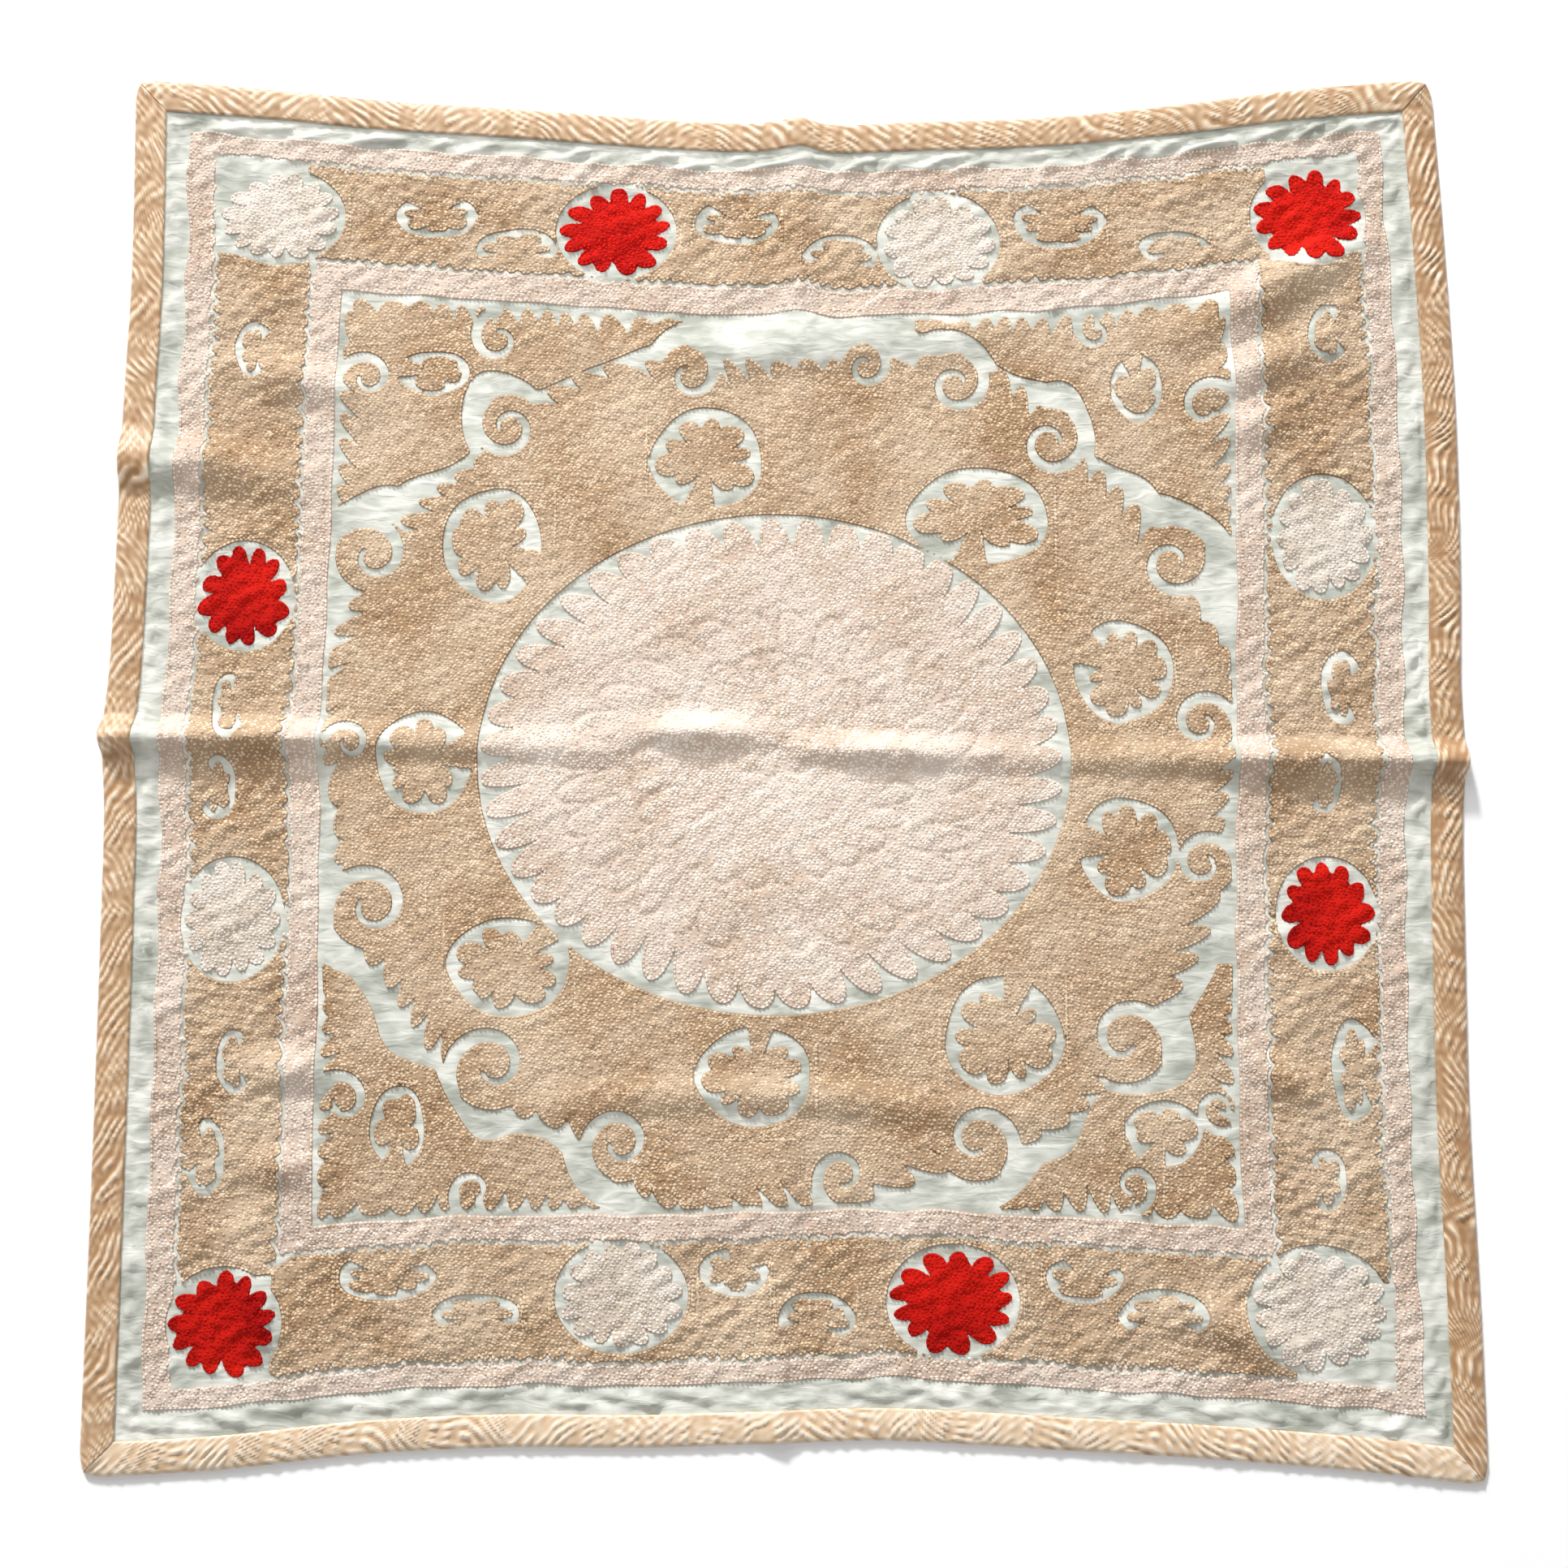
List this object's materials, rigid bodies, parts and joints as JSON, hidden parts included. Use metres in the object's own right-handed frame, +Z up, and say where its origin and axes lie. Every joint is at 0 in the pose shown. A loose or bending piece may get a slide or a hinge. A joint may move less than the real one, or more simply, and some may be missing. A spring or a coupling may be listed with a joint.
{
  "type": "embroidered tablecloth",
  "caption": "Square cotton table cover with a pincushion outline, flat embroidered field, fold ridges and a mitred bias binding on each side.",
  "frame": {"origin": "centre of the bounding box, on the surface that the cloth rests on", "axes": "+X to the right edge and +Y to the top edge, +Z up out of the surface"},
  "size_m": [0.9981, 1.0294, 0.0156],
  "materials": {
    "chain_stitched_cotton": "matt cotton cloth covered with rows of cotton chain stitch",
    "bias_satin": "soft satin cut on the bias, a little shiny"
  },
  "bodies": {
    "root": {"embroidered_cloth": "chain_stitched_cotton", "binding_top": "bias_satin", "binding_bottom": "bias_satin", "binding_left": "bias_satin", "binding_right": "bias_satin"}
  },
  "joints": []
}
